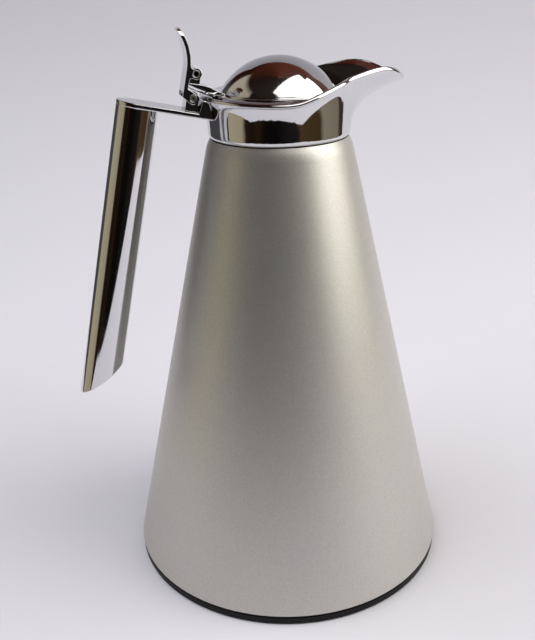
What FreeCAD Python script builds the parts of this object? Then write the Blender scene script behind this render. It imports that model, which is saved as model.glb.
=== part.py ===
"""A cone-shaped vacuum carafe with a spouted collar, a tube handle and a thumb-lever lid.

Millimetres. The origin is on the floor under the middle of the cone. +Z is up, +X runs along the
spout, and the handle is on the -X side. The lid, its arm and the lever turn together on the hinge
pin, whose axis runs along Y beside the collar's rim.
"""
import FreeCAD
import Part
import Sketcher
import math
import os
from types import SimpleNamespace

V = FreeCAD.Vector

SIZES = {
    # painted cone
    "base_radius": 82.5,
    "foot_height": 5.2,
    "neck_radius": 33.97,
    "shoulder_height": 222.6,
    "shoulder_drop": 5.7,
    "shoulder_round": 17.0,
    "shell_wall": 0.8,
    # floor of the cone
    "rim_inset": 0.2,
    "base_gap": 1.3,
    "foot_lift": 0.8,
    "base_floor": 3.8,
    "base_wall": 2.0,
    "upstand_height": 8.0,
    "foot_inset": 4.5,
    "foot_ring_width": 6.0,
    "foot_ring_groove": 1.2,
    "cap_bore": 26.0,
    "cap_flange": 5.0,
    "cap_height": 7.5,
    "cap_wall": 4.0,
    "cap_floor": 3.5,
    "coin_slot_length": 26.0,
    "coin_slot_width": 2.6,
    "coin_slot_depth": 1.6,
    # vacuum glass
    "liner_bottom": 18.0,
    "liner_gap": 5.5,
    "liner_round": 22.0,
    "liner_shoulder": 9.0,
    "glass_wall": 1.8,
    "vacuum_gap": 4.0,
    "seal_side": 1.0,
    "glass_neck_height": 14.5,
    "glass_neck_wall": 6.0,
    "lip_depth": 4.0,
    "pip_bore": 8.0,
    "seal_thickness": 1.2,
    "seal_wall": 0.9,
    "seal_skirt": 5.0,
    # collar with its spout
    "gasket_thickness": 0.5,
    "collar_inset": 0.17,
    "collar_tuck": 1.0,
    "collar_tuck_height": 2.2,
    "collar_wall": 1.6,
    "collar_floor": 2.0,
    "mouth_step": 1.0,
    "rim_flare": 2.5,
    "rim_rise": 17.6,
    "rim_back_rise": 1.1,
    "rim_back_angle": 85.0,
    "bead_height": 1.9,
    "bead_bulge": 1.3,
    "spout_length": 23.5,
    "spout_angle": 48.0,
    "spout_rise": 11.2,
    "spout_crest": 15.8,
    "spout_dip": 6.9,
    "spout_dip_angle": 24.0,
    "spigot_inset": 4.8,
    "spigot_wall": 3.0,
    "spigot_depth": 13.2,
    "nut_wall": 2.3,
    "nut_height": 7.0,
    "nut_notch": 5.0,
    # handle
    "finger_gap": 25.3,
    "tube_radius": 9.55,
    "tube_wall": 1.2,
    "grip_length": 143.1,
    "plate_thickness": 2.0,
    "plate_spigot": 8.0,
    "root_height": 6.0,
    "root_slant": 1.0,
    "root_reach": 2.6,
    "rivet_radius": 1.6,
    "rivet_head": 2.6,
    "rivet_head_height": 1.1,
    "rivet_depth": 2.6,
    "rivet_angle": 9.0,
    "cap_thickness": 3.0,
    "cap_recess": 0.5,
    # hinge
    "hinge_clear": 4.7,
    "hinge_lift": 2.6,
    "hinge_stand": 5.98,
    "hinge_pin_radius": 1.6,
    "pin_dimple": 0.6,
    "bracket_half": 2.8,
    "bracket_thickness": 9.1,
    "tenon_radius": 2.0,
    # thumb lever
    "cheek_wall": 1.15,
    "lever_thickness": 1.6,
    "lever_offset": 3.25,
    "lever_heel": 0.2,
    "lever_straight": 11.5,
    "lever_curl": 22.0,
    "lever_reach": 6.75,
    "lever_tip_round": 5.2,
    "lever_web_clear": 1.9,
    "ear_low": 2.7,
    "ear_high": 2.5,
    "ear_fillet": 1.6,
    "ear_rise": 0.4,
    "gusset_height": 3.6,
    "pin_spacing": 10.7,
    "pin_back": 0.35,
    "lever_pin_radius": 1.6,
    "lever_pin_bore": 0.9,
    # lid
    "lid_clear": 3.8,
    "lid_rise": 3.4,
    "lid_thickness": 2.2,
    "lid_lip": 1.5,
    "lid_edge": 0.6,
    "lid_shelf": 5.25,
    "dome_height": 15.5,
    "dome_wall": 1.2,
    "boss_radius": 4.0,
    "arm_width": 12.0,
    "arm_height": 6.25,
    "arm_thickness": 2.1,
    "arm_flat": 4.0,
    "arm_knee": 0.6,
    "arm_belly": 3.05,
    "arm_step": 0.5,
    "arm_round": 1.7,
    "tang_radius": 2.3,
    "plug_inset": 5.0,
    "plug_taper": 2.5,
    "plug_flange": 1.3,
    "plug_wall": 1.8,
    "plug_tube_radius": 4.0,
    "lid_gasket_thickness": 2.0,
    "lid_gasket_lap": 1.0,
    "lid_gasket_width": 5.0,
    "lid_screw_radius": 1.5,
    "lid_screw_head": 3.0,
    "lid_screw_head_height": 2.0,
    "lid_screw_grip": 9.0,
    # clearances
    "fit": 0.1,
    "running": 0.05,
    "seat_gap": 0.3,
}

# Shares that give the collar its tucked foot, its spout and its plain wall, and the stations round it
TUCK_START = 0.2
THROAT_START = 0.42
THROAT_REACH = 0.5
THROAT_LEAN = 0.6
THROAT_FALL = 0.13
WALL_REACH = 0.2
WALL_LEAN = 0.2
RISE_POWER = 1.4
RISE_BLEND = 2.0
STATIONS = 64
FULL_TURN = 360.0
LIP_STEP = 0.5
HALVINGS = 50
CLOSE = 1e-3

NUT_NOTCHES = 6
CHEEK_PLAY = 6
DERIVED_ROWS = 200

HALF = 0.5
LONG_HALF = math.sqrt(0.75)

doc = FreeCAD.newDocument("Carafe")
sheet = doc.addObject("Spreadsheet::Sheet", "Sizes")


class Size:
    """A length that carries both its value and the sheet formula that gives it."""

    def __init__(self, value, text):
        self.value = value
        self.text = text

    def join(self, sign, other, result):
        return Size(result, f"({self.text} {sign} {as_size(other).text})")

    def __add__(self, other):
        return self.join("+", other, self.value + as_size(other).value)

    def __sub__(self, other):
        return self.join("-", other, self.value - as_size(other).value)

    def __mul__(self, other):
        return self.join("*", other, self.value * as_size(other).value)

    def __truediv__(self, other):
        return self.join("/", other, self.value / as_size(other).value)

    def __radd__(self, other):
        return as_size(other) + self

    def __rsub__(self, other):
        return as_size(other) - self

    def __rmul__(self, other):
        return as_size(other) * self

    def __rtruediv__(self, other):
        return as_size(other) / self

    def __neg__(self):
        return 0 - self


def as_size(number):
    if isinstance(number, Size):
        return number
    return Size(float(number), repr(float(number)))


def root(size):
    return Size(math.sqrt(size.value), f"sqrt({size.text})")


def fill_sheet():
    """Write the driving sizes to the sheet and return them by name."""
    for row, (name, number) in enumerate(SIZES.items(), start=1):
        sheet.set(f"A{row}", name)
        sheet.set(f"B{row}", str(number))
        sheet.setAlias(f"B{row}", name)
    doc.recompute()
    return SimpleNamespace(**{name: Size(float(sheet.get(name)), f"Sizes.{name}") for name in SIZES})


s = fill_sheet()
derived_rows = iter(range(1, DERIVED_ROWS))


def derive(name, size):
    """Keep a worked-out size in the sheet under its own name."""
    cell = f"D{next(derived_rows)}"
    sheet.set(cell, "=" + size.text.replace("Sizes.", ""))
    sheet.setAlias(cell, name)
    return Size(size.value, f"Sizes.{name}")


# Cone and the heights that follow from it
slope = derive("slope", (s.base_radius - s.neck_radius) / (s.shoulder_height - s.foot_height))
lean_cos = derive("lean_cos", 1 / root(1 + slope * slope))
lean_sin = derive("lean_sin", slope * lean_cos)


def cone_radius(height):
    return s.neck_radius + slope * (s.shoulder_height - height)


def inside_radius(height):
    return cone_radius(height) - s.shell_wall / lean_cos


collar_bottom = derive("collar_bottom", s.shoulder_height + s.gasket_thickness)
collar_seat = derive("collar_seat", collar_bottom + s.collar_floor)
rim_height = derive("rim_height", s.shoulder_height + s.rim_rise)
glass_lip = derive("glass_lip", collar_bottom - s.seal_thickness)

# Radii from the neck outwards and inwards
collar_radius = derive("collar_radius", s.neck_radius - s.collar_inset)
rim_radius = derive("rim_radius", collar_radius + s.rim_flare)
spout_reach = derive("spout_reach", rim_radius + s.spout_length)
spigot_radius = derive("spigot_radius", collar_radius - s.spigot_inset)
spigot_bore = derive("spigot_bore", spigot_radius - s.spigot_wall)
glass_neck_radius = derive("glass_neck_radius", spigot_bore - s.seal_side)
glass_mouth_radius = derive("glass_mouth_radius", glass_neck_radius - s.glass_neck_wall)
collar_mouth = derive("collar_mouth", glass_mouth_radius + s.mouth_step)

# Shoulder arc, tangent to the cone
shoulder_start = derive("shoulder_start", s.shoulder_height - s.shoulder_drop)
arc_r = derive("arc_r", cone_radius(shoulder_start) - s.shoulder_round * lean_cos)
arc_z = derive("arc_z", shoulder_start - s.shoulder_round * lean_sin)


def shoulder_radius(arc, height):
    return arc_r + root(arc * arc - (height - arc_z) * (height - arc_z))


shoulder_edge = derive("shoulder_edge", shoulder_radius(s.shoulder_round, s.shoulder_height))

# Floor heights and radii
foot_ring_outer = derive("foot_ring_outer", s.base_radius - s.foot_inset)
foot_ring_inner = derive("foot_ring_inner", foot_ring_outer - s.foot_ring_width)
cushion_radius = derive("cushion_radius", s.cap_bore - s.cap_wall - 2 * s.fit)
rim_top = derive("rim_top", s.foot_height - s.base_gap)
floor_top = derive("floor_top", s.foot_lift + s.base_floor)
floor_under = derive("floor_under", floor_top - s.base_wall)
cap_bottom = derive("cap_bottom", s.foot_lift + s.fit)
cushion_floor = derive("cushion_floor", cap_bottom + s.cap_floor)

# Hinge pin beside the rim, and the handle's frame, whose origin is where the tube's axis meets the
# plate's top: the plate passes under the pin and the tube runs along the cone, a finger's width off
hinge_x = derive("hinge_x", -(rim_radius + s.hinge_clear))
hinge_z = derive("hinge_z", rim_height + s.hinge_lift)
under_x = derive("under_x", hinge_x - s.hinge_stand * lean_sin)
under_z = derive("under_z", hinge_z - s.hinge_stand * lean_cos)
hinge_u = derive("hinge_u", (under_x + cone_radius(under_z)) * lean_cos + s.finger_gap + s.tube_radius)
hinge_n = s.hinge_stand
tube_x = derive("tube_x", under_x - hinge_u * lean_cos)
plate_height = derive("plate_height", under_z + hinge_u * lean_sin)
cheek_gap = derive("cheek_gap", s.bracket_thickness + CHEEK_PLAY * s.fit)
lever_width = derive("lever_width", cheek_gap + 2 * s.cheek_wall)

# Lid heights and radii
lid_radius = derive("lid_radius", rim_radius - s.lid_clear)
lid_top = derive("lid_top", rim_height + s.lid_rise)
lid_bottom = derive("lid_bottom", lid_top - s.lid_thickness)
dome_base = derive("dome_base", lid_radius - s.lid_shelf)
dome_radius = derive("dome_radius", (dome_base * dome_base / s.dome_height + s.dome_height) / 2)
dome_z = derive("dome_z", lid_top + s.dome_height - dome_radius)
dome_inner = derive("dome_inner", dome_radius - s.dome_wall)
dome_inner_base = derive(
    "dome_inner_base", root(dome_inner * dome_inner - (lid_top - dome_z) * (lid_top - dome_z)))
plug_bottom = derive("plug_bottom", collar_seat + s.seat_gap + s.lid_gasket_thickness)
plug_foot = derive("plug_foot", plug_bottom - HALF * s.lid_gasket_thickness)
plug_high_radius = derive("plug_high_radius", lid_radius - s.plug_inset)
plug_low_radius = derive("plug_low_radius", plug_high_radius - s.plug_taper)
lid_gasket_radius = derive("lid_gasket_radius", plug_low_radius + s.lid_gasket_lap)
lid_gasket_bore = derive("lid_gasket_bore", lid_gasket_radius - s.lid_gasket_width)
doc.recompute()


# Sketch and feature helpers

def plane_of(body, role):
    return [item for item in body.Origin.OriginFeatures if item.Role == role][0]


def new_body(name, tilted=False):
    """A body in the carafe's frame, or in the handle's leaning frame."""
    body = doc.addObject("PartDesign::Body", name)
    if tilted:
        lean = math.degrees(math.atan(slope.value))
        body.Placement = FreeCAD.Placement(
            V(tube_x.value, 0, plate_height.value), FreeCAD.Rotation(V(0, 1, 0), lean))
        body.setExpression("Placement.Base.x", tube_x.text)
        body.setExpression("Placement.Base.z", plate_height.text)
        body.setExpression("Placement.Rotation.Angle", f"atan({slope.text})")
    return body


def new_sketch(body, name, role, height=None):
    sketch = body.newObject("Sketcher::SketchObject", name)
    sketch.AttachmentSupport = (plane_of(body, role), [""])
    sketch.MapMode = "FlatFace"
    if height is not None:
        sketch.AttachmentOffset = FreeCAD.Placement(V(0, 0, height.value), FreeCAD.Rotation())
        sketch.setExpression("AttachmentOffset.Base.z", height.text)
    return sketch


def bind(sketch, constraint, size):
    index = sketch.addConstraint(constraint)
    sketch.setExpression(f"Constraints[{index}]", as_size(size).text)


def place_point(sketch, geometry, end, x, y):
    """Tie one point of the sketch to its two coordinates."""
    for kind, axis, size in (("DistanceX", -2, x), ("DistanceY", -1, y)):
        if isinstance(size, Size):
            bind(sketch, Sketcher.Constraint(kind, -1, 1, geometry, end, size.value), size)
        else:
            sketch.addConstraint(Sketcher.Constraint("PointOnObject", geometry, end, axis))


def arc_between(start, end, bend):
    """The short arc from start to end: a positive bend turns left, a negative one right."""
    chord = end - start
    left = V(-chord.y, chord.x, 0).normalize()
    radius = abs(bend)
    side = 1 if bend > 0 else -1
    depth = math.sqrt(max(radius * radius - chord.Length ** 2 / 4, 0))
    centre = (start + end) / 2 + left * (side * depth)
    first, last = (start, end) if bend > 0 else (end, start)
    angles = [math.atan2(point.y - centre.y, point.x - centre.x) for point in (first, last)]
    if angles[1] < angles[0]:
        angles[1] += 2 * math.pi
    return Part.ArcOfCircle(Part.Circle(centre, V(0, 0, 1), radius), angles[0], angles[1])


def outline(body, name, role, points, height=None):
    """A closed sketch through points (x, y) or (x, y, bend), the bend being of the edge that ends there."""
    sketch = new_sketch(body, name, role, height)
    corners = [V(as_size(point[0]).value, as_size(point[1]).value, 0) for point in points]
    count = len(points)
    ends = []
    for index in range(count):
        target = points[(index + 1) % count]
        start, end = corners[index], corners[(index + 1) % count]
        if len(target) == 3:
            bend = as_size(target[2])
            geometry = sketch.addGeometry(arc_between(start, end, bend.value), False)
            ends.append((geometry, 1, 2) if bend.value > 0 else (geometry, 2, 1))
        else:
            geometry = sketch.addGeometry(Part.LineSegment(start, end), False)
            ends.append((geometry, 1, 2))
    for index in range(count):
        here, after = ends[index], ends[(index + 1) % count]
        sketch.addConstraint(Sketcher.Constraint("Coincident", here[0], here[2], after[0], after[1]))
    for index, point in enumerate(points):
        place_point(sketch, ends[index][0], ends[index][1], point[0], point[1])
        if len(point) == 3:
            arc = ends[index - 1][0]
            bend = as_size(point[2])
            size = bend if bend.value > 0 else -bend
            bind(sketch, Sketcher.Constraint("Radius", arc, size.value), size)
    return sketch


def circles(body, name, role, rounds, height=None):
    """A sketch of circles, each given as (x, y, radius)."""
    sketch = new_sketch(body, name, role, height)
    for x, y, radius in rounds:
        centre = V(as_size(x).value, as_size(y).value, 0)
        geometry = sketch.addGeometry(Part.Circle(centre, V(0, 0, 1), radius.value), False)
        place_point(sketch, geometry, 3, x, y)
        bind(sketch, Sketcher.Constraint("Radius", geometry, radius.value), radius)
    return sketch


def extrude(body, kind, sketch, length=None, side="One side", reverse=False):
    """A Pad or a Pocket of the sketch. A pocket without a length goes through everything."""
    feature = body.newObject(f"PartDesign::{kind}", f"{sketch.Name}_{kind}")
    feature.Profile = sketch
    feature.SideType = side
    feature.Reversed = reverse
    if length is None:
        feature.Type = "ThroughAll"
    else:
        feature.setExpression("Length", as_size(length).text)
    return feature


def revolve(body, kind, sketch):
    """A full Revolution or Groove of the sketch round the upright axis."""
    feature = body.newObject(f"PartDesign::{kind}", f"{sketch.Name}_{kind}")
    feature.Profile = sketch
    feature.ReferenceAxis = (sketch, ["V_Axis"])
    feature.Angle = FULL_TURN
    return feature


def turned(name, points):
    """A body of one profile turned round the upright axis."""
    body = new_body(name)
    revolve(body, "Revolution", outline(body, f"{name}_profile", "XZ_Plane", points))
    return body


def round_under(body, feature, line, half, radius):
    """Round the long edges of a pad along a line of points (x, z), on both of its sides at y = half."""
    corners = [V(x.value, side * half.value, z.value) for x, z in line for side in (-1, 1)]

    def is_corner(vertex):
        return any(corner.isEqual(vertex.Point, CLOSE) for corner in corners)

    doc.recompute()
    chosen = [f"Edge{index}" for index, edge in enumerate(feature.Shape.Edges, 1)
              if edge.BoundBox.YLength < CLOSE and all(is_corner(vertex) for vertex in edge.Vertexes)]
    fillet = body.newObject("PartDesign::Fillet", f"{feature.Name}_round")
    fillet.Base = (feature, chosen)
    fillet.setExpression("Radius", radius.text)
    return fillet


def polar(body, feature, count):
    pattern = body.newObject("PartDesign::PolarPattern", f"{feature.Name}_ring")
    pattern.Originals = [feature]
    pattern.Axis = ([item for item in body.Origin.OriginFeatures if item.Role == "Z_Axis"][0], [""])
    pattern.Angle = FULL_TURN
    pattern.Occurrences = count
    body.Tip = pattern
    return pattern


def backwards(points):
    """The same line walked the other way, each bend moved to the edge that now ends there."""
    bends = [point[2] if len(point) == 3 else None for point in points]
    turned_round = []
    for index in range(len(points) - 1, -1, -1):
        bend = bends[index + 1] if index + 1 < len(points) else None
        turned_round.append(points[index][:2] + ((-bend,) if bend is not None else ()))
    return turned_round


def boolean(kind, name, base, tool):
    feature = doc.addObject(f"Part::{kind}", name)
    feature.Base = base
    feature.Tool = tool
    return feature


# Cone and floor

def make_body_shell():
    inner_arc = s.shoulder_round - s.shell_wall
    flange_under = s.shoulder_height - s.shell_wall
    bore = spigot_radius + s.fit
    return turned("body_shell", [
        (inside_radius(s.foot_height), s.foot_height),
        (s.base_radius, s.foot_height),
        (cone_radius(shoulder_start), shoulder_start),
        (shoulder_edge, s.shoulder_height, s.shoulder_round),
        (bore, s.shoulder_height),
        (bore, flange_under),
        (shoulder_radius(inner_arc, flange_under), flange_under),
        (arc_r + inner_arc * lean_cos, arc_z + inner_arc * lean_sin, -inner_arc),
    ])


def make_base_plate():
    rim = s.base_radius - s.rim_inset
    upstand_top = rim_top + s.upstand_height
    groove_in = foot_ring_inner - s.fit
    groove_out = foot_ring_outer + s.fit
    groove_top = s.foot_lift + s.foot_ring_groove
    return turned("base_plate", [
        (rim, s.foot_lift),
        (rim, rim_top),
        (inside_radius(rim_top) - s.fit, rim_top),
        (inside_radius(upstand_top) - s.fit, upstand_top),
        (inside_radius(upstand_top) - s.fit - s.base_wall, upstand_top),
        (inside_radius(floor_top) - s.fit - s.base_wall, floor_top),
        (s.cap_bore, floor_top),
        (s.cap_bore, floor_under),
        (groove_in - s.base_wall, floor_under),
        (groove_in - s.base_wall, s.foot_lift),
        (groove_in, s.foot_lift),
        (groove_in, groove_top),
        (groove_out, groove_top),
        (groove_out, s.foot_lift),
    ])


def make_foot_ring():
    top = s.foot_lift + s.foot_ring_groove
    return turned("foot_ring", [
        (foot_ring_inner, 0), (foot_ring_outer, 0), (foot_ring_outer, top), (foot_ring_inner, top)])


def make_base_cap():
    flange = s.cap_bore + s.cap_flange
    plug = s.cap_bore - s.fit
    cup = cushion_radius + s.fit
    cup_top = cap_bottom + s.cap_height
    body = turned("base_cap", [
        (0, cap_bottom),
        (flange, cap_bottom),
        (flange, floor_under),
        (plug, floor_under),
        (plug, cup_top),
        (cup, cup_top),
        (cup, cushion_floor),
        (0, cushion_floor),
    ])
    x, y = HALF * s.coin_slot_length, HALF * s.coin_slot_width
    slot = outline(body, "coin_slot", "XY_Plane", [(-x, -y), (x, -y), (x, y), (-x, y)], cap_bottom)
    extrude(body, "Pocket", slot, s.coin_slot_depth, reverse=True)
    return body


# Vacuum glass and its seats

def glass_line(depth, neck, top):
    """One glass surface, from the axis at the bottom to the top of the neck, depth inside the outer one."""
    bottom = s.liner_bottom + depth
    bend = s.liner_round - depth
    reach = bend * (1 + lean_sin) / lean_cos
    neck_foot = glass_lip - s.glass_neck_height
    shoulder = neck_foot - s.liner_shoulder

    def radius(height):
        return inside_radius(height) - s.liner_gap - depth / lean_cos

    corner = radius(bottom)
    return [
        (0, bottom),
        (corner - reach, bottom),
        (corner - reach * lean_sin, bottom + reach * lean_cos, bend),
        (radius(shoulder), shoulder),
        (neck, neck_foot),
        (neck, top),
    ]


def make_liner():
    both_walls = 2 * s.glass_wall + s.vacuum_gap
    vacuum_top = glass_lip - s.lip_depth
    outside = glass_line(0 * s.glass_wall, glass_neck_radius, glass_lip)
    inside = glass_line(both_walls, glass_mouth_radius, glass_lip)
    body = turned("liner", outside + backwards(inside))
    far_side = glass_line(s.glass_wall, glass_neck_radius - s.glass_wall, vacuum_top)
    near_side = glass_line(
        s.glass_wall + s.vacuum_gap, glass_mouth_radius + s.glass_wall, vacuum_top)
    revolve(body, "Groove", outline(body, "vacuum", "XZ_Plane", far_side + backwards(near_side)))
    return body


def make_liner_cushion():
    return turned("liner_cushion", [
        (s.pip_bore, cushion_floor),
        (cushion_radius, cushion_floor),
        (cushion_radius, s.liner_bottom),
        (s.pip_bore, s.liner_bottom),
    ])


def make_neck_seal():
    inner = glass_mouth_radius + s.seal_wall
    skirt = glass_neck_radius + s.running
    outer = spigot_bore - s.running
    return turned("neck_seal", [
        (inner, glass_lip),
        (skirt, glass_lip),
        (skirt, glass_lip - s.seal_skirt),
        (outer, glass_lip - s.seal_skirt),
        (outer, collar_bottom),
        (inner, collar_bottom),
    ])


def make_neck_nut():
    inner = spigot_radius + s.running
    outer = inner + s.nut_wall
    top = s.shoulder_height - s.shell_wall
    bottom = top - s.nut_height
    body = turned("neck_nut", [(inner, bottom), (outer, bottom), (outer, top), (inner, top)])
    y = HALF * s.nut_notch
    notch = outline(body, "notch", "XY_Plane", [
        (inner + HALF * s.nut_wall, -y), (outer + s.nut_wall, -y),
        (outer + s.nut_wall, y), (inner + HALF * s.nut_wall, y)], bottom)
    polar(body, extrude(body, "Pocket", notch, HALF * s.nut_height, reverse=True), NUT_NOTCHES)
    return body


def make_collar_gasket():
    inner = spigot_radius + s.fit
    return turned("collar_gasket", [
        (inner, s.shoulder_height), (shoulder_edge, s.shoulder_height),
        (shoulder_edge, collar_bottom), (inner, collar_bottom)])


# Collar: a crown of curved surfaces on a plain threaded spigot

def bump(angle, half_angle):
    """A raised cosine: 1 straight ahead and 0 from half_angle on."""
    if abs(angle) >= half_angle:
        return 0.0
    return math.cos(0.5 * math.pi * angle / half_angle) ** 2


def rim_point(angle):
    """The collar's outer lip at an angle from the spout, in degrees: radius and height."""
    reach = spout_reach.value - rim_radius.value
    radius = rim_radius.value + reach * bump(angle, s.spout_angle.value)
    ahead = radius * math.cos(math.radians(angle))
    run = RISE_BLEND * math.log1p(math.exp(ahead / RISE_BLEND))
    share = min(run / (spout_reach.value - s.spout_crest.value), 1.0)
    rise = s.spout_rise.value * (1 - (1 - share) ** RISE_POWER)
    dip = s.spout_dip.value * bump(angle, s.spout_dip_angle.value)
    back = s.rim_back_rise.value * bump(FULL_TURN / 2 - abs(angle), s.rim_back_angle.value)
    return radius, rim_height.value + rise - dip + back


def flare(angle):
    """Four control points (radius, height) of the collar's outer side, from its lower edge to its lip."""
    foot_r, foot_z = collar_radius.value, collar_bottom.value + s.collar_tuck_height.value
    lip_r, lip_z = rim_point(angle)
    tall = lip_z - foot_z
    spout = bump(angle, s.spout_angle.value)
    lean = WALL_LEAN + (THROAT_LEAN - WALL_LEAN) * spout
    reach = WALL_REACH + (THROAT_REACH - WALL_REACH) * spout
    return [
        (foot_r, foot_z),
        (foot_r + lean, foot_z + THROAT_START * tall),
        (foot_r + reach * (lip_r - foot_r), lip_z - THROAT_FALL * tall),
        (lip_r, lip_z),
    ]


def spatial(angle, point):
    turn = math.radians(angle)
    return V(point[0] * math.cos(turn), point[0] * math.sin(turn), point[1])


def station(angle):
    """Control points of four surfaces at one angle: tucked foot, outer side, rolled lip, inner side."""
    wall, tuck = s.collar_wall.value, s.collar_tuck.value
    outer = [spatial(angle, point) for point in flare(angle)]
    after, before = angle + LIP_STEP, angle - LIP_STEP
    along = spatial(after, rim_point(after)) - spatial(before, rim_point(before))
    up = (outer[3] - outer[2]).normalize()
    inward = up.cross(along).normalize()
    foot, throat = flare(angle)[:2]
    inner = [
        spatial(angle, (foot[0] - wall, collar_seat.value)),
        spatial(angle, (throat[0] - wall, throat[1])),
        outer[2] + inward * wall,
        outer[3] + inward * wall,
    ]
    crest = up * s.bead_height.value
    spread = inward * s.bead_bulge.value
    lip = [outer[3], outer[3] + crest - spread, inner[3] + crest + spread, inner[3]]
    low, tall = collar_bottom.value, s.collar_tuck_height.value
    tucked = [
        (foot[0] - tuck, low),
        (foot[0] - HALF * tuck, low + TUCK_START * tall),
        (foot[0], low + HALF * tall),
        foot,
    ]
    return [spatial(angle, point) for point in tucked], outer, lip, inner


def closed_surface(rows):
    """A smooth face round the axis, through closed rows of points, curving from the first row to the last."""
    places = list(range(STATIONS + 1))
    poles = []
    for row in rows:
        curve = Part.BSplineCurve()
        curve.interpolate(Points=row, PeriodicFlag=True, Parameters=places)
        poles.append(curve.getPoles())
    surface = Part.BSplineSurface()
    across = [list(column) for column in zip(*poles)]
    surface.buildFromPolesMultsKnots(
        across, curve.getMultiplicities(), [4, 4], curve.getKnots(), [0, 1], True, False, curve.Degree, 3)
    return surface.toShape()


def level_ring(outer_edge, radius, height):
    """A level face between a closed edge and a round hole."""
    hole = Part.Wire(Part.makeCircle(radius, V(0, 0, height)))
    return Part.makeFace([Part.Wire(outer_edge), hole], "Part::FaceMakerBullseye")


def edge_at(face, height):
    """The closed edge of a face that lies level at a height."""
    level = [edge for edge in face.Edges
             if edge.BoundBox.ZLength < CLOSE and abs(edge.BoundBox.ZMin - height) < CLOSE]
    return level[0]


def make_collar_crown():
    angles = [FULL_TURN * index / STATIONS for index in range(STATIONS)]
    signed = [angle - FULL_TURN if angle > FULL_TURN / 2 else angle for angle in angles]
    stations = [station(angle) for angle in signed]
    tucked, outer, lip, inner = (
        closed_surface([[place[part][row] for place in stations] for row in range(4)]) for part in range(4))
    mouth, low, high = collar_mouth.value, collar_bottom.value, collar_seat.value
    faces = [
        tucked, outer, lip, inner,
        level_ring(edge_at(tucked, low), mouth, low),
        level_ring(edge_at(inner, high), mouth, high),
        Part.makeCylinder(mouth, high - low, V(0, 0, low)).Faces[0],
    ]
    shell = Part.makeShell(faces)
    shell.sewShape()
    solid = Part.makeSolid(shell)
    if solid.Volume < 0:
        solid.reverse()
    crown = doc.addObject("Part::Feature", "collar_crown")
    crown.Shape = solid
    return crown


def make_collar_spigot():
    bottom = collar_bottom - s.spigot_depth
    return turned("collar_spigot", [
        (spigot_bore, bottom), (spigot_radius, bottom),
        (spigot_radius, collar_bottom + HALF * s.collar_floor),
        (spigot_bore, collar_bottom + HALF * s.collar_floor)])


def wall_radius(height):
    """The collar's outer radius at the back, where the handle meets it."""
    controls = flare(FULL_TURN / 2)
    low, high = 0.0, 1.0
    for _ in range(HALVINGS):
        middle = 0.5 * (low + high)
        point = Part.BezierCurve()
        point.setPoles([V(radius, 0, level) for radius, level in controls])
        if point.value(middle).z < height:
            low = middle
        else:
            high = middle
    return point.value(low).x


# Handle, in its leaning frame: u runs along the plate to the collar, n stands square on it

def make_handle_rivet(name, side):
    """A rivet along a radius of the collar, its head inside the collar's wall."""
    body = turned(name, [
        (0, -(s.collar_wall + s.rivet_depth)),
        (s.rivet_radius, -(s.collar_wall + s.rivet_depth)),
        (s.rivet_radius, 0),
        (s.rivet_head, 0),
        (s.rivet_head, HALF * s.rivet_head_height),
        (s.rivet_radius, s.rivet_head_height),
        (0, s.rivet_head_height),
    ])
    plate_run = -collar_radius.value - tube_x.value
    height = plate_height.value - slope.value * plate_run + HALF * s.root_height.value
    turn = math.pi + side * math.radians(s.rivet_angle.value)
    radius = wall_radius(height) - s.collar_wall.value
    outwards = V(math.cos(turn), math.sin(turn), 0)
    body.Placement = FreeCAD.Placement(
        V(0, 0, height) + outwards * radius, FreeCAD.Rotation(V(0, 0, 1), outwards * -1))
    return body


def make_handle_plate(collar, rivets):
    body = new_body("handle_plate_body", tilted=True)
    radius = s.tube_radius
    end = (-(collar_radius - s.root_reach) - tube_x) / lean_cos
    plan = outline(body, "plate_plan", "XY_Plane", [
        (0, -radius, radius), (end, -radius), (end, radius), (0, radius), (-radius, 0, radius)])
    extrude(body, "Pad", plan, s.plate_thickness, reverse=True)
    spigot = circles(body, "plate_spigot", "XY_Plane", [(0, 0, radius - s.tube_wall - s.running)],
                     -s.plate_thickness)
    extrude(body, "Pad", spigot, s.plate_spigot, reverse=True)
    start = hinge_u + s.bracket_half + s.fit
    root_side = outline(body, "plate_root", "XZ_Plane", [
        (start, -HALF * s.plate_thickness), (end, -HALF * s.plate_thickness), (end, s.root_height),
        (start + s.root_slant, s.root_height), (start, 0 * start)])
    extrude(body, "Pad", root_side, 2 * radius, side="Symmetric")
    tenon = circles(body, "tenon_hole", "XY_Plane", [(hinge_u, 0, s.tenon_radius)])
    extrude(body, "Pocket", tenon, side="Symmetric")
    inside = doc.addObject("Part::Cone", "collar_inside")
    inside.setExpression("Radius1", (collar_radius - HALF * s.collar_wall).text)
    inside.setExpression("Radius2", (collar_radius + 2 * s.rim_flare - HALF * s.collar_wall).text)
    inside.setExpression("Height", (2 * (rim_height - collar_bottom)).text)
    inside.setExpression("Placement.Base.z", collar_bottom.text)
    cut = boolean("Cut", "handle_plate_inside_cut", body, inside)
    cut = boolean("Cut", "handle_plate_collar_cut", cut, collar)
    cut = boolean("Cut", "handle_plate_first_rivet", cut, rivets[0])
    return boolean("Cut", "handle_plate", cut, rivets[1])


def make_handle_tube():
    body = new_body("handle_tube", tilted=True)
    ring = circles(body, "tube_ring", "XY_Plane",
                   [(0, 0, s.tube_radius), (0, 0, s.tube_radius - s.tube_wall)], -s.plate_thickness)
    extrude(body, "Pad", ring, s.grip_length, reverse=True)
    extrude(body, "Pocket", beyond_slant(body, "tube_slant", 0 * s.cap_recess), side="Symmetric")
    return body


def slant_height(u, rise):
    """Height of the slanted end at a distance u from the tube's axis, rise inside the tube."""
    return rise + s.tube_radius + u - s.plate_thickness - s.grip_length


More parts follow.
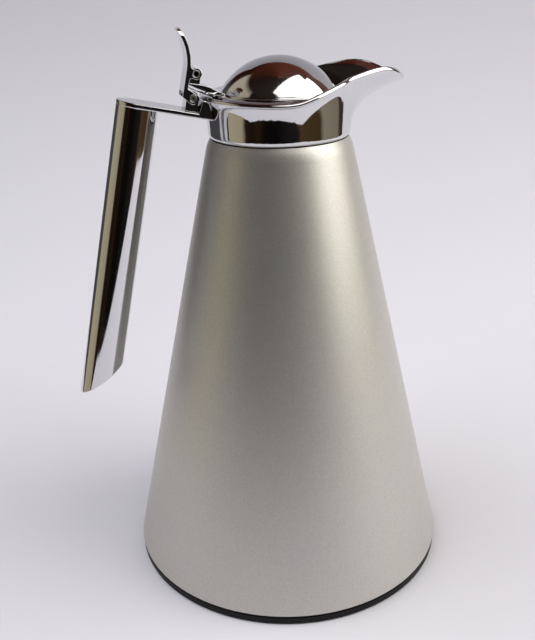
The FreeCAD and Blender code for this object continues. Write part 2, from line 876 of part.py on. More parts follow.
def beyond_slant(body, name, rise):
    """All that lies below the tube's slanted end, moved up by rise."""
    far = 2 * s.tube_radius
    return outline(body, name, "XZ_Plane", [
        (-far, slant_height(-far, rise)), (far, slant_height(-far, rise)), (far, slant_height(far, rise))])


def make_handle_cap():
    body = new_body("handle_cap", tilted=True)
    far = 2 * s.tube_radius
    top = s.cap_recess + s.cap_thickness
    disc = circles(body, "cap_disc", "XY_Plane", [(0, 0, s.tube_radius - s.tube_wall - s.running)],
                   -s.plate_thickness)
    extrude(body, "Pad", disc, s.grip_length, reverse=True)
    extrude(body, "Pocket", beyond_slant(body, "cap_slant", s.cap_recess), side="Symmetric")
    above = outline(body, "cap_above", "XZ_Plane", [
        (-far, slant_height(-far, top)), (far, slant_height(far, top)), (far, far), (-far, far)])
    extrude(body, "Pocket", above, side="Symmetric")
    return body


# Hinge

def make_hinge_bracket():
    body = new_body("hinge_bracket", tilted=True)
    left, right = hinge_u - s.bracket_half, hinge_u + s.bracket_half
    side = outline(body, "bracket_side", "XZ_Plane", [
        (left, 0), (right, 0), (right, hinge_n), (hinge_u, hinge_n + s.bracket_half, s.bracket_half),
        (left, hinge_n, s.bracket_half)])
    extrude(body, "Pad", side, s.bracket_thickness, side="Symmetric")
    tenon = circles(body, "bracket_tenon", "XY_Plane", [(hinge_u, 0, s.tenon_radius)])
    extrude(body, "Pad", tenon, s.plate_thickness, reverse=True)
    bore = circles(body, "bracket_bore", "XZ_Plane", [(hinge_u, hinge_n, s.hinge_pin_radius + s.running)])
    extrude(body, "Pocket", bore, side="Symmetric")
    return body


def make_hinge_pin():
    """The lower pin, solid, with a dimple in each end."""
    body = new_body("hinge_pin", tilted=True)
    round_bar = circles(body, "hinge_pin_round", "XZ_Plane", [from_hinge(0, 0) + (s.hinge_pin_radius,)])
    extrude(body, "Pad", round_bar, lever_width, side="Symmetric")
    for name, side in (("dimple_near", 1), ("dimple_far", -1)):
        end = side * HALF * lever_width
        dimple = circles(body, name, "XZ_Plane", [from_hinge(0, 0) + (s.pin_dimple,)], end)
        extrude(body, "Pocket", dimple, s.pin_dimple, reverse=side < 0)
    return body


def make_lever_pin():
    """The upper pin, a short tube."""
    body = new_body("lever_pin", tilted=True)
    place = from_hinge(-s.pin_back, s.pin_spacing)
    ring = circles(body, "lever_pin_ring", "XZ_Plane", [
        place + (s.lever_pin_radius,), place + (s.lever_pin_bore,)])
    extrude(body, "Pad", ring, lever_width, side="Symmetric")
    return body


# Thumb lever, in the handle's frame and measured from the hinge pin

def from_hinge(u, n, *bend):
    return (hinge_u + u, hinge_n + n) + bend


def make_thumb_lever():
    body = new_body("thumb_lever", tilted=True)
    front = -s.lever_offset
    back = front - s.lever_thickness
    curl_cos = (s.lever_curl - s.lever_reach) / s.lever_curl
    curl_sin = root(1 - curl_cos * curl_cos)
    outer_curl = s.lever_curl + s.lever_thickness
    centre = back - s.lever_curl
    blade = outline(body, "blade", "XZ_Plane", [
        from_hinge(back, -s.lever_heel),
        from_hinge(front, -s.lever_heel),
        from_hinge(front, s.lever_straight),
        from_hinge(centre + outer_curl * curl_cos, s.lever_straight + outer_curl * curl_sin, outer_curl),
        from_hinge(centre + s.lever_curl * curl_cos, s.lever_straight + s.lever_curl * curl_sin),
        from_hinge(back, s.lever_straight, -s.lever_curl),
    ])
    extrude(body, "Pad", blade, lever_width, side="Symmetric")
    tip = s.lever_straight + outer_curl * curl_sin
    wide, round_off = HALF * lever_width, s.lever_tip_round
    for name, side in (("tip_left", -1), ("tip_right", 1)):
        trim = outline(body, name, "YZ_Plane", [
            (side * wide, hinge_n + tip - round_off),
            (side * (wide - round_off), hinge_n + tip, side * round_off),
            (side * (wide - round_off), hinge_n + tip + round_off),
            (side * 2 * wide, hinge_n + tip + round_off),
            (side * 2 * wide, hinge_n + tip - round_off),
        ])
        extrude(body, "Pocket", trim, side="Symmetric")

    low, high, spacing = s.ear_low, s.ear_high, s.pin_spacing
    notch = front + 2 * s.fit
    middle = front - HALF * s.lever_thickness
    back_pin = -s.pin_back
    ear_top = spacing + high + s.ear_rise
    cheek = outline(body, "cheek", "XZ_Plane", [
        from_hinge(back, -s.lever_heel),
        from_hinge(-HALF * low, -LONG_HALF * low),
        from_hinge(LONG_HALF * low, -HALF * low, low),
        from_hinge(LONG_HALF * low, HALF * low, low),
        from_hinge(notch, s.gusset_height),
        from_hinge(notch, spacing - high - CHEEK_PLAY * HALF * s.fit),
        from_hinge(back_pin - HALF * high, spacing - LONG_HALF * high),
        from_hinge(back_pin + LONG_HALF * high, spacing - HALF * high, high),
        from_hinge(back_pin, spacing + high, high),
        from_hinge(front, ear_top, -s.ear_fillet),
        from_hinge(middle, ear_top),
        from_hinge(middle, s.lever_straight),
        from_hinge(back, s.lever_straight),
    ])
    extrude(body, "Pad", cheek, lever_width, side="Symmetric")

    top = spacing + 2 * high
    slot = outline(body, "lever_slot", "XZ_Plane", [
        from_hinge(front, top),
        from_hinge(front, s.lever_web_clear),
        from_hinge(2 * back, s.lever_web_clear),
        from_hinge(2 * back, -2 * low),
        from_hinge(2 * low, -2 * low),
        from_hinge(2 * low, top),
    ])
    extrude(body, "Pocket", slot, cheek_gap, side="Symmetric")
    holes = circles(body, "ear_holes", "XZ_Plane", [
        from_hinge(0, 0) + (s.hinge_pin_radius,), from_hinge(back_pin, spacing) + (s.lever_pin_radius,)])
    extrude(body, "Pocket", holes, side="Symmetric")
    return body


# Lid

def beside_hinge(u, n, *bend):
    """A point measured from the hinge pin along and square to the plate, in the carafe's own frame."""
    return (hinge_x + u * lean_cos + n * lean_sin, hinge_z - u * lean_sin + n * lean_cos) + bend


def make_lid_ring():
    body = new_body("lid_ring")
    thick, ring = s.lid_thickness, lid_radius
    bore = dome_inner_base - s.fit - s.lid_lip
    end = -bore - s.lid_lip
    middle = lid_bottom + HALF * thick
    start, top = -s.lever_offset + 2 * s.fit, s.arm_height
    half = HALF * s.arm_width
    foot_x, foot_z = -root(dome_base * dome_base - half * half), lid_top + s.arm_step
    foot_u = (foot_x - hinge_x) * lean_cos - (foot_z - hinge_z) * lean_sin
    foot_n = (foot_x - hinge_x) * lean_sin + (foot_z - hinge_z) * lean_cos
    run, drop = foot_u - s.arm_flat, top - foot_n
    bend = (run * run + drop * drop) / (4 * drop)
    under = [
        beside_hinge(start, top - s.arm_thickness),
        beside_hinge(s.arm_knee, top - s.arm_belly),
        (s.lid_edge - ring, middle),
    ]
    side = outline(body, "arm_side", "XZ_Plane", under + [
        (end, middle),
        (end, lid_top),
        (foot_x, lid_top),
        (foot_x, foot_z),
        beside_hinge(HALF * (s.arm_flat + foot_u), HALF * (top + foot_n), -bend),
        beside_hinge(s.arm_flat, top, bend),
        beside_hinge(start, top),
    ])
    arm = extrude(body, "Pad", side, s.arm_width, side="Symmetric")
    round_under(body, arm, under, half, s.arm_round)
    dome_room = circles(body, "dome_room", "XY_Plane", [(0, 0, dome_base + s.fit)], lid_top)
    extrude(body, "Pocket", dome_room, s.dome_height, reverse=True)

    tang, pin, high = s.tang_radius, -s.pin_back, s.pin_spacing
    inside_arm = top - HALF * s.arm_thickness
    tang_side = outline(body, "tang", "XZ_Plane", [
        beside_hinge(pin - tang, inside_arm), beside_hinge(pin + tang, inside_arm),
        beside_hinge(pin + tang, high), beside_hinge(pin, high + tang, tang),
        beside_hinge(pin - tang, high, tang)])
    extrude(body, "Pad", tang_side, cheek_gap - 2 * s.fit, side="Symmetric")
    hole = circles(body, "tang_hole", "XZ_Plane", [beside_hinge(pin, high) + (s.lever_pin_radius,)])
    extrude(body, "Pocket", hole, side="Symmetric")

    lip_top = lid_top + s.lid_lip
    lip_out = root(dome_inner * dome_inner - (lip_top - dome_z) * (lip_top - dome_z)) - s.fit
    profile = outline(body, "ring_profile", "XZ_Plane", [
        (bore, lid_bottom),
        (ring, lid_bottom),
        (ring, lid_top - s.lid_edge),
        (ring - s.lid_edge, lid_top, s.lid_edge),
        (lip_out, lid_top),
        (lip_out, lip_top),
        (bore, lip_top),
    ])
    revolve(body, "Revolution", profile)
    return body


def make_lid_dome():
    outer, inner = dome_radius, dome_inner
    boss_top = dome_z + root(inner * inner - s.boss_radius * s.boss_radius)
    bore_top = lid_bottom + s.lid_screw_grip + s.lid_screw_radius
    return turned("lid_dome", [
        (dome_inner_base, lid_top, -inner),
        (dome_base, lid_top),
        (0, dome_z + outer, outer),
        (0, bore_top),
        (s.lid_screw_radius, bore_top),
        (s.lid_screw_radius, lid_bottom),
        (s.boss_radius, lid_bottom),
        (s.boss_radius, boss_top),
    ])


def make_lid_plug():
    bore = s.lid_screw_radius + s.fit
    recess = s.lid_screw_head + s.fit
    recess_top = plug_foot + s.lid_screw_head_height
    flange_bottom = lid_bottom - s.plug_flange
    flange = lid_radius - s.lid_edge
    floor = recess_top + s.plug_wall
    return turned("lid_plug", [
        (recess, plug_foot),
        (lid_gasket_bore, plug_foot),
        (lid_gasket_bore, plug_bottom),
        (plug_low_radius, plug_bottom),
        (plug_high_radius, flange_bottom),
        (flange, flange_bottom),
        (flange, lid_bottom),
        (plug_high_radius - s.plug_wall, lid_bottom),
        (plug_low_radius - s.plug_wall, floor),
        (s.plug_tube_radius, floor),
        (s.plug_tube_radius, lid_bottom),
        (bore, lid_bottom),
        (bore, recess_top),
        (recess, recess_top),
    ])


def make_lid_gasket():
    bottom = collar_seat + s.seat_gap
    return turned("lid_gasket", [
        (lid_gasket_bore, bottom), (lid_gasket_radius, bottom),
        (lid_gasket_radius, plug_bottom), (lid_gasket_bore, plug_bottom)])


def make_lid_screw():
    head_top = plug_foot + s.lid_screw_head_height
    tip = lid_bottom + s.lid_screw_grip
    return turned("lid_screw", [
        (0, plug_foot), (s.lid_screw_head, plug_foot), (s.lid_screw_head, head_top),
        (s.lid_screw_radius, head_top), (s.lid_screw_radius, tip), (0, tip)])


def make_carafe():
    """Build every piece and return them in order."""
    rivets = [make_handle_rivet("handle_rivet_left", -1), make_handle_rivet("handle_rivet_right", 1)]
    collar = boolean("Fuse", "collar_whole", make_collar_crown(), make_collar_spigot())
    drilled = boolean("Cut", "collar_one_hole", collar, rivets[0])
    return [
        make_body_shell(), make_base_plate(), make_foot_ring(), make_base_cap(),
        make_liner(), make_liner_cushion(), make_neck_seal(), make_neck_nut(), make_collar_gasket(),
        boolean("Cut", "collar", drilled, rivets[1]),
        make_handle_plate(collar, rivets), make_handle_tube(), make_handle_cap(), *rivets,
        make_hinge_bracket(), make_hinge_pin(), make_lever_pin(), make_thumb_lever(),
        make_lid_ring(), make_lid_dome(), make_lid_plug(), make_lid_gasket(), make_lid_screw(),
    ]


def write_parts(pieces):
    doc.recompute()
    for item in doc.Objects:
        if "Invalid" in item.State or "Error" in item.State:
            raise RuntimeError(f"{item.Name} did not build: {item.State}")
    for piece in pieces:
        if piece.Shape.isNull() or not piece.Shape.isValid():
            raise RuntimeError(f"{piece.Label} has no sound shape")
    os.makedirs("parts", exist_ok=True)
    for piece in pieces:
        piece.Shape.exportStep(f"parts/{piece.Label}.step")
        box = piece.Shape.BoundBox
        print(f"{piece.Label}: {len(piece.Shape.Solids)} solid, {piece.Shape.Volume / 1000:.2f} cm3, "
              f"x {box.XMin:.1f} to {box.XMax:.1f}, z {box.ZMin:.1f} to {box.ZMax:.1f}")


write_parts(make_carafe())
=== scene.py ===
import math

import bpy
from mathutils import Matrix, Vector


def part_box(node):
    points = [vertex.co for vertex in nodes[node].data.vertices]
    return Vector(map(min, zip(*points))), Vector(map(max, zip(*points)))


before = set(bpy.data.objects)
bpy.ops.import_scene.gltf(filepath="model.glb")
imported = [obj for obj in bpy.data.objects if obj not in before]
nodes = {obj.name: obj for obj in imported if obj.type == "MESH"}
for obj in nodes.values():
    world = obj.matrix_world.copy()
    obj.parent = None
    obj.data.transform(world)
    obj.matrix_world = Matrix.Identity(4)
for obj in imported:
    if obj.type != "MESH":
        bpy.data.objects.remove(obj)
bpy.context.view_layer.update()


# Cone
# The outer shell is a drawn sheet-metal cone, sprayed with a silver paint that has aluminium flake in
# it and a thin satin lacquer on top. The flake makes a fine grain that shows best beside the highlight.

MM = 0.001
FLAKE_SIZE = 0.45 * MM      # real flake is finer; drawn this coarse so that it shows
FLAKE_DEPTH = 0.05 * MM
FLAKE_DARK = "#c4c2bc"
FLAKE_BRIGHT = "#d5d3cd"
SPRAY_MOTTLE = 35 * MM
MOTTLE_SHARE = 0.06
PAINT_SMOOTH = 0.43
PAINT_ROUGH = 0.49


def linear(colour):
    """The linear red, green, blue and alpha of an sRGB hex colour."""
    result = []
    for start in (1, 3, 5):
        part = int(colour[start:start + 2], 16) / 255
        result.append(part / 12.92 if part <= 0.04045 else ((part + 0.055) / 1.055) ** 2.4)
    return result + [1.0]


def add_node(tree, kind, settings=None, inputs=None, links=None):
    """A node with its settings, its input values and the sockets that feed it."""
    node = tree.nodes.new(kind)
    for name, value in (settings or {}).items():
        setattr(node, name, value)
    for name, value in (inputs or {}).items():
        node.inputs[name].default_value = value
    for name, socket in (links or {}).items():
        tree.links.new(socket, node.inputs[name])
    return node


def new_material(name):
    """A material with its tree, its Principled surface and Object coordinates."""
    material = bpy.data.materials.new(name)
    material.use_nodes = True
    tree = material.node_tree
    shader = tree.nodes["Principled BSDF"]
    place = add_node(tree, "ShaderNodeTexCoord").outputs["Object"]
    return material, tree, shader, place


def dress(material, *names):
    """Give CAD nodes one material all over."""
    for name in names:
        slots = nodes[name].data.materials
        slots.clear()
        slots.append(material)


silver_paint, tree, shader, place = new_material("silver_flake_paint")
shader.inputs["Metallic"].default_value = 0.86
shader.inputs["Coat Weight"].default_value = 0.25
shader.inputs["Coat Roughness"].default_value = 0.28
flake = add_node(tree, "ShaderNodeTexVoronoi", inputs={"Scale": 1 / FLAKE_SIZE}, links={"Vector": place})
mottle = add_node(tree, "ShaderNodeTexNoise", inputs={"Scale": 1 / SPRAY_MOTTLE, "Detail": 3.0},
                  links={"Vector": place})
tones = add_node(tree, "ShaderNodeValToRGB", links={"Fac": flake.outputs["Color"]})
tones.color_ramp.elements[0].color = linear(FLAKE_DARK)
tones.color_ramp.elements[1].color = linear(FLAKE_BRIGHT)
drift = add_node(tree, "ShaderNodeMix", {"data_type": "RGBA", "blend_type": "MULTIPLY"},
                 {"Factor": MOTTLE_SHARE})
tree.links.new(tones.outputs["Color"], drift.inputs["A"])
tree.links.new(mottle.outputs["Color"], drift.inputs["B"])
tree.links.new(drift.outputs["Result"], shader.inputs["Base Color"])
sheen = add_node(tree, "ShaderNodeMapRange", inputs={"To Min": PAINT_SMOOTH, "To Max": PAINT_ROUGH},
                 links={"Value": mottle.outputs["Fac"]})
tree.links.new(sheen.outputs["Result"], shader.inputs["Roughness"])
grain = add_node(tree, "ShaderNodeBump", inputs={"Strength": 0.08, "Distance": FLAKE_DEPTH},
                 links={"Height": flake.outputs["Color"]})
tree.links.new(grain.outputs["Normal"], shader.inputs["Normal"])
dress(silver_paint, "body_shell")


# Floor of the cone and other black mouldings
# A moulded plate closes the cone from below and shows as a thin dark line round the foot; a round cap
# screws into it. The neck's ring nut and the plug in the grip match. All have a mould's fine, dull grain.

MOULD_GRAIN = 0.5 * MM      # a real mould's grain is finer; drawn this coarse so that it shows
GRAIN_LIFT = 1.5
SHEEN_SPREAD = 0.06


def black_plastic(name, colour, roughness, grain_depth):
    """Moulded black plastic with a fine grain and a slightly uneven sheen."""
    material, tree, shader, place = new_material(name)
    shader.inputs["Specular IOR Level"].default_value = 0.2
    grit = add_node(tree, "ShaderNodeTexNoise", inputs={"Scale": 1 / MOULD_GRAIN, "Detail": 2.0},
                    links={"Vector": place})
    tones = add_node(tree, "ShaderNodeMix", {"data_type": "RGBA"}, links={"Factor": grit.outputs["Fac"]})
    tones.inputs["A"].default_value = linear(colour)
    tones.inputs["B"].default_value = [min(1.0, part * GRAIN_LIFT) for part in linear(colour)]
    tree.links.new(tones.outputs["Result"], shader.inputs["Base Color"])
    sheen = add_node(tree, "ShaderNodeMapRange",
                     inputs={"To Min": roughness - SHEEN_SPREAD, "To Max": roughness + SHEEN_SPREAD},
                     links={"Value": grit.outputs["Fac"]})
    tree.links.new(sheen.outputs["Result"], shader.inputs["Roughness"])
    bump = add_node(tree, "ShaderNodeBump", inputs={"Strength": 0.3, "Distance": grain_depth},
                    links={"Height": grit.outputs["Fac"]})
    tree.links.new(bump.outputs["Normal"], shader.inputs["Normal"])
    return material


base_plastic = black_plastic("black_abs", colour="#0a0a0b", roughness=0.5, grain_depth=0.05 * MM)
dress(base_plastic, "base_plate", "base_cap", "neck_nut", "handle_cap")


# Foot ring and seals
# Soft black rubber: the ring the carafe stands on, set in a groove of the floor, the cushion under the
# glass and the three sealing rings. Moulded and dull, with hardly any shine.

soft_rubber = black_plastic("moulded_rubber", colour="#0b0b0b", roughness=0.75, grain_depth=0.08 * MM)
dress(soft_rubber, "foot_ring", "liner_cushion", "neck_seal", "collar_gasket", "lid_gasket")


# Glass
# A blown double-walled flask, held between the cushion and the neck's seal. It is silvered on the faces
# towards the vacuum, so it looks like a slightly wavy mirror behind clear glass.

BLOW_WAVE = 40 * MM
WAVE_DEPTH = 0.6 * MM

silvered, tree, shader, place = new_material("silvered_glass")
shader.inputs["Metallic"].default_value = 1.0
shader.inputs["Base Color"].default_value = linear("#dcdee0")
shader.inputs["Roughness"].default_value = 0.08
shader.inputs["Coat Weight"].default_value = 1.0
wave = add_node(tree, "ShaderNodeTexNoise", inputs={"Scale": 1 / BLOW_WAVE}, links={"Vector": place})
ripple = add_node(tree, "ShaderNodeBump", inputs={"Strength": 0.4, "Distance": WAVE_DEPTH},
                  links={"Height": wave.outputs["Fac"]})
tree.links.new(ripple.outputs["Normal"], shader.inputs["Normal"])
dress(silvered, "liner")


# Collar, handle and lid
# Cast and pressed parts, riveted and pinned together, polished and chrome plated: a mirror with a cool
# tint and faint, duller smears. Polishing has rounded the edges, so they catch a thin bright line.

SMEAR = 14 * MM
SMEAR_STARTS = 0.35
SMEAR_FULL = 0.75
PLATE_DARK = "#d3d3d6"
PLATE_BRIGHT = "#dedee0"
PLATE_CLEAN = 0.03
PLATE_SMEARED = 0.09
PLATE_EDGE = 0.35 * MM
BRIDGE_EDGE = 1.0 * MM
EDGE_SAMPLES = 8


def chrome_plate(name, edge_radius):
    """Mirror plating whose edges look rounded off by the polishing before it."""
    material, tree, shader, place = new_material(name)
    shader.inputs["Metallic"].default_value = 1.0
    smear = add_node(tree, "ShaderNodeTexNoise", inputs={"Scale": 1 / SMEAR, "Detail": 4.0},
                     links={"Vector": place})
    tint = add_node(tree, "ShaderNodeMix", {"data_type": "RGBA"}, links={"Factor": smear.outputs["Fac"]})
    tint.inputs["A"].default_value = linear(PLATE_DARK)
    tint.inputs["B"].default_value = linear(PLATE_BRIGHT)
    tree.links.new(tint.outputs["Result"], shader.inputs["Base Color"])
    dull = add_node(tree, "ShaderNodeMapRange",
                    inputs={"From Min": SMEAR_STARTS, "From Max": SMEAR_FULL,
                            "To Min": PLATE_CLEAN, "To Max": PLATE_SMEARED},
                    links={"Value": smear.outputs["Fac"]})
    tree.links.new(dull.outputs["Result"], shader.inputs["Roughness"])
    edge = add_node(tree, "ShaderNodeBevel", {"samples": EDGE_SAMPLES}, {"Radius": edge_radius})
    tree.links.new(edge.outputs["Normal"], shader.inputs["Normal"])
    return material


dress(chrome_plate("chrome_plate", PLATE_EDGE), "collar", "handle_tube", "handle_rivet_left",
      "handle_rivet_right", "hinge_bracket", "lid_ring", "lid_dome", "thumb_lever")
dress(chrome_plate("chrome_plate_bridge", BRIDGE_EDGE), "handle_plate")


# Stopper under the lid
# A black moulded cup, held up by one screw. Its mould was polished, so it is smoother and shinier than
# the mouldings below.

stopper_plastic = black_plastic("black_polypropylene", colour="#202022", roughness=0.32,
                                grain_depth=0.02 * MM)
dress(stopper_plastic, "lid_plug")


# Pins and screw
# Turned steel, left bright: fine rings run round each end, and the rims look rounded off. Painted shade
# darkens the bore of the upper pin and the dimple of the lower one: near-black and not metallic there.

TURNING = 0.12 * MM
PIN_EDGE = 0.2 * MM
# near-black colour painted as shade in the bore and the dimple
BORE_SHADE = "#15110d"
BORE_SHADE_EDGE = 0.08 * MM
STEEL_DARK = "#a3a19c"
STEEL_BRIGHT = "#cfccc5"
STEEL_SMOOTH = 0.2
STEEL_ROUGH = 0.36


def turned_steel(name, across, hole):
    """Dress a turned piece: rings round its middle, seen across its axis, and painted shade inside the hole.
    """
    low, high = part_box(name)
    middle = [part * (start + end) / 2 for part, start, end in zip(across, low, high)]
    material, tree, shader, place = new_material("turned_steel_" + name)
    shader.inputs["Specular IOR Level"].default_value = 0.0
    flat = add_node(tree, "ShaderNodeVectorMath", {"operation": "MULTIPLY"}, {1: across}, {0: place})
    reach = add_node(tree, "ShaderNodeVectorMath", {"operation": "DISTANCE"}, {1: middle},
                     {0: flat.outputs["Vector"]})
    rings = add_node(tree, "ShaderNodeTexNoise", {"noise_dimensions": "1D"},
                     {"Scale": 1 / TURNING, "Detail": 1.0}, {"W": reach.outputs["Value"]})
    tones = add_node(tree, "ShaderNodeMix", {"data_type": "RGBA"}, links={"Factor": rings.outputs["Fac"]})
    tones.inputs["A"].default_value = linear(STEEL_DARK)
    tones.inputs["B"].default_value = linear(STEEL_BRIGHT)
    # Inside the hole the colour is painted shade: it turns near-black and stops being metallic.
    outside_bore_shade = add_node(tree, "ShaderNodeMapRange",
                     inputs={"From Min": hole - BORE_SHADE_EDGE, "From Max": hole + BORE_SHADE_EDGE},
                     links={"Value": reach.outputs["Value"]})
    tree.links.new(outside_bore_shade.outputs["Result"], shader.inputs["Metallic"])
    painted_bore_shade = add_node(tree, "ShaderNodeMix", {"data_type": "RGBA"}, links={"Factor": outside_bore_shade.outputs["Result"]})
    painted_bore_shade.inputs["A"].default_value = linear(BORE_SHADE)
    tree.links.new(tones.outputs["Result"], painted_bore_shade.inputs["B"])
    tree.links.new(painted_bore_shade.outputs["Result"], shader.inputs["Base Color"])
    dull = add_node(tree, "ShaderNodeMapRange", inputs={"To Min": STEEL_SMOOTH, "To Max": STEEL_ROUGH},
                    links={"Value": rings.outputs["Fac"]})
    tree.links.new(dull.outputs["Result"], shader.inputs["Roughness"])
    edge = add_node(tree, "ShaderNodeBevel", {"samples": EDGE_SAMPLES}, {"Radius": PIN_EDGE})
    tree.links.new(edge.outputs["Normal"], shader.inputs["Normal"])
    dress(material, name)


turned_steel("hinge_pin", across=(1, 0, 1), hole=0.6 * MM)
turned_steel("lever_pin", across=(1, 0, 1), hole=1.1 * MM)
turned_steel("lid_screw", across=(1, 1, 0), hole=0)


# Floor and backdrop
# One sheet of matt pale paper, flat under the carafe and swept up behind it, with painted shade darkening it
# towards its top. The bright parts mirror it low down and the room above; a corner is cut so that the grip
# mirrors the lit wall.

PAPER_HALF_WIDTH = 0.53
PAPER_FRONT = -0.49
PAPER_CUT_CORNER = -0.34    # where the front edge ends, on the handle's side
PAPER_BACK = 0.6
PAPER_HEIGHT = 0.95
PAPER_BEND = 0.45
BEND_STEPS = 24
PAPER_TURN = math.radians(-26)
PAPER_CLOUD = 300 * MM
PAPER_DARK = "#d5d5dc"
PAPER_BRIGHT = "#d9d9e0"
# colour of the painted shade at the top of the backdrop
PAPER_TOP_SHADE = "#98979c"

bpy.ops.object.select_all(action="DESELECT")
bpy.ops.mesh.primitive_plane_add(size=1)
paper = bpy.context.object
paper.name = "paper_sweep"
paper.scale = (2 * PAPER_HALF_WIDTH, PAPER_BACK - PAPER_FRONT, 1)
paper.location = (0, (PAPER_BACK + PAPER_FRONT) / 2, 0)
bpy.ops.object.transform_apply(location=True, rotation=True, scale=True)
for corner in paper.data.vertices:
    corner.select = corner.co.y > 0
    if corner.co.x < 0 and corner.co.y < 0:
        corner.co.x = PAPER_CUT_CORNER
for edge in paper.data.edges:
    edge.select = all(paper.data.vertices[index].select for index in edge.vertices)
for face in paper.data.polygons:
    face.select = False
bpy.ops.object.mode_set(mode="EDIT")
bpy.ops.mesh.select_mode(type="EDGE")
bpy.ops.mesh.extrude_edges_move(TRANSFORM_OT_translate={"value": (0, 0, PAPER_HEIGHT)})
bpy.ops.object.mode_set(mode="OBJECT")
bend = paper.modifiers.new("bend", "BEVEL")
bend.width = PAPER_BEND
bend.segments = BEND_STEPS
bpy.ops.object.modifier_apply(modifier="bend")
bpy.ops.object.shade_smooth()
paper.rotation_euler = (0, 0, PAPER_TURN)
bpy.ops.object.transform_apply(location=True, rotation=True, scale=True)
pale_paper, tree, shader, place = new_material("pale_paper")
shader.inputs["Roughness"].default_value = 0.9
shader.inputs["Specular IOR Level"].default_value = 0.1
cloud = add_node(tree, "ShaderNodeTexNoise", inputs={"Scale": 1 / PAPER_CLOUD, "Detail": 2.0},
                 links={"Vector": place})
tones = add_node(tree, "ShaderNodeMix", {"data_type": "RGBA"}, links={"Factor": cloud.outputs["Fac"]})
tones.inputs["A"].default_value = linear(PAPER_DARK)
tones.inputs["B"].default_value = linear(PAPER_BRIGHT)
# Painted shade: the paper's colour darkens with height, as if less light reached its top.
height = add_node(tree, "ShaderNodeSeparateXYZ", links={"Vector": place})
shade_climb = add_node(tree, "ShaderNodeMapRange", inputs={"From Max": PAPER_HEIGHT},
                 links={"Value": height.outputs["Z"]})
painted_top_shade = add_node(tree, "ShaderNodeMix", {"data_type": "RGBA"}, links={"Factor": shade_climb.outputs["Result"]})
tree.links.new(tones.outputs["Result"], painted_top_shade.inputs["A"])
painted_top_shade.inputs["B"].default_value = linear(PAPER_TOP_SHADE)
tree.links.new(painted_top_shade.outputs["Result"], shader.inputs["Base Color"])
paper.data.materials.append(pale_paper)


# Light
# A wide soft window stands on the right with a smaller pane above it. A third soft lamp on the left fills
# the shadows without showing in the chrome.

AIM = Vector((0, 0, 0.15))
DAYLIGHT = "#fffcf6"
FILL_LIGHT = "#fafaff"


def soft_lamp(name, place, size, power, colour):
    """A rectangular soft lamp that faces the carafe."""
    lamp = bpy.data.lights.new(name, "AREA")
    lamp.shape = "RECTANGLE"
    lamp.size, lamp.size_y = size
    lamp.energy = power
    lamp.color = linear(colour)[:3]
    holder = bpy.data.objects.new(name, lamp)
    bpy.context.scene.collection.objects.link(holder)
    holder.location = place
    holder.rotation_euler = (AIM - Vector(place)).to_track_quat("-Z", "Y").to_euler()
    return holder


soft_lamp("window", place=(1.156, -0.564, 0.92), size=(1.4, 1.7), power=21, colour=DAYLIGHT)
soft_lamp("upper_pane", place=(0.35, -0.43, 1.45), size=(1.37, 0.66), power=5.5, colour=DAYLIGHT)
fill = soft_lamp("fill", place=(-1.1, 0.1, 1.6), size=(2.0, 2.0), power=30, colour=FILL_LIGHT)
fill.visible_glossy = False


# Room
# Beyond the paper the room is dim and brown: a lit wall on the left, a dark end in front, a paler wall on
# the right and a red-brown ceiling. It shows as soft bands in the chrome and as the cone's shading.

# Degrees from straight in front of the carafe, positive towards the spout.
WALLS = [(-180, "#4a484a"), (-124, "#4a484a"), (-118, "#b0a78c"), (-76, "#a39a80"), (-70, "#2a1d13"),
         (-58, "#1b130d"), (-50, "#291c11"), (-38, "#110c09"), (-20, "#0d0a09"), (0, "#191718"),
         (14, "#1f1b1b"), (20, "#4a3a26"), (54, "#43341f"), (60, "#8b8270"), (92, "#7f7666"),
         (96, "#3a2a24"), (108, "#4a342a"), (114, "#a3a1a5"), (180, "#a3a1a5")]
UPPER_WALLS = [(-180, "#2c1610"), (-152, "#2c1610"), (-147, "#b5ab9b"), (-92, "#a99e8a"), (-86, "#1c1612"),
               (60, "#241d1a"), (90, "#4a3a35"), (110, "#73504a"), (150, "#6e4032"), (180, "#4a241a")]
CEILING = [(-180, "#4a2318"), (-120, "#221812"), (-60, "#2a231f"), (60, "#2e2623"), (100, "#5a3c35"),
           (150, "#5f3226"), (180, "#4a2318")]

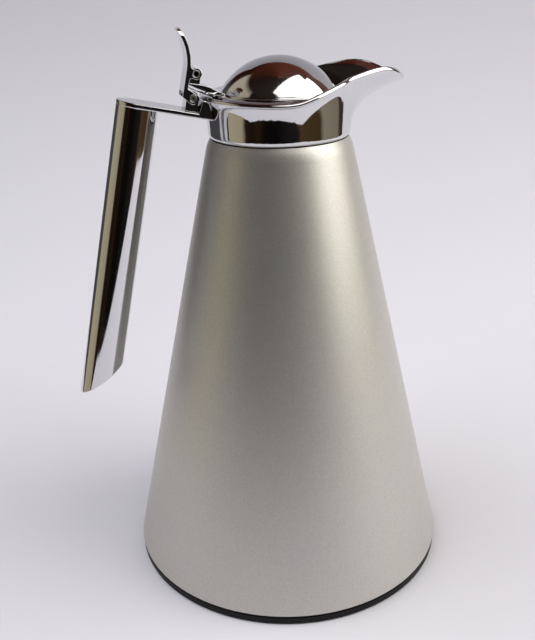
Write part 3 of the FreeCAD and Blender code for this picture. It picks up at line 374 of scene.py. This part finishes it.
world = bpy.data.worlds.new("room")
bpy.context.scene.world = world
world.use_nodes = True
tree = world.node_tree
room = tree.nodes["Background"]
way = add_node(tree, "ShaderNodeTexCoord").outputs["Generated"]
axes = add_node(tree, "ShaderNodeSeparateXYZ", links={"Vector": way})
ahead = add_node(tree, "ShaderNodeMath", {"operation": "MULTIPLY"}, {1: -1.0}, {0: axes.outputs["Y"]})
turn = add_node(tree, "ShaderNodeMath", {"operation": "ARCTAN2"},
                links={0: axes.outputs["X"], 1: ahead.outputs["Value"]})
share = add_node(tree, "ShaderNodeMapRange", inputs={"From Min": -math.pi, "From Max": math.pi},
                 links={"Value": turn.outputs["Value"]})


def bands(colours):
    """A ring of colours round the room, each at its angle from straight ahead."""
    ring = add_node(tree, "ShaderNodeValToRGB", links={"Fac": share.outputs["Result"]})
    stops = ring.color_ramp.elements
    while len(stops) < len(colours):
        stops.new(1.0)
    for stop, (angle, colour) in zip(stops, colours):
        stop.position = (angle + 180) / 360
        stop.color = linear(colour)
    return ring.outputs["Color"]


def above(lower, upper, start, end):
    """Pass from the lower colours to the upper ones between two heights of the sky's unit sphere."""
    rise = add_node(tree, "ShaderNodeMapRange", inputs={"From Min": start, "From Max": end},
                    links={"Value": axes.outputs["Z"]})
    mix = add_node(tree, "ShaderNodeMix", {"data_type": "RGBA"}, links={"Factor": rise.outputs["Result"]})
    tree.links.new(lower, mix.inputs["A"])
    tree.links.new(upper, mix.inputs["B"])
    return mix.outputs["Result"]


sides = above(bands(WALLS), bands(UPPER_WALLS), start=0.31, end=0.41)
tree.links.new(above(sides, bands(CEILING), start=0.72, end=0.80), room.inputs["Color"])
room.inputs["Strength"].default_value = 1.0


# Camera
# It stands where the photo was taken from: in front, a little to the handle's side, looking down. Its
# lens is given by the photo's height and the focal length in the photo's pixels.

FOCAL_PIXELS = 832.29
FRAME_HEIGHT = 640
SENSOR = 36.0
CAMERA_PLACE = (-0.1030, -0.3845, 0.2971)
HEADING = math.radians(13.81)
PITCH = math.radians(23.117)
ROLL = math.radians(-1.7257)
NEAREST = 0.01

lens = bpy.data.cameras.new("camera")
lens.sensor_width = SENSOR
lens.lens = FOCAL_PIXELS * SENSOR / FRAME_HEIGHT
lens.clip_start = NEAREST
camera = bpy.data.objects.new("camera", lens)
bpy.context.scene.collection.objects.link(camera)
camera.matrix_world = (Matrix.Translation(CAMERA_PLACE)
                       @ Matrix.Rotation(-HEADING, 4, "Z")
                       @ Matrix.Rotation(math.pi / 2 - PITCH, 4, "X")
                       @ Matrix.Rotation(ROLL, 4, "Z"))
bpy.context.scene.camera = camera
bpy.context.scene.view_settings.view_transform = "Standard"
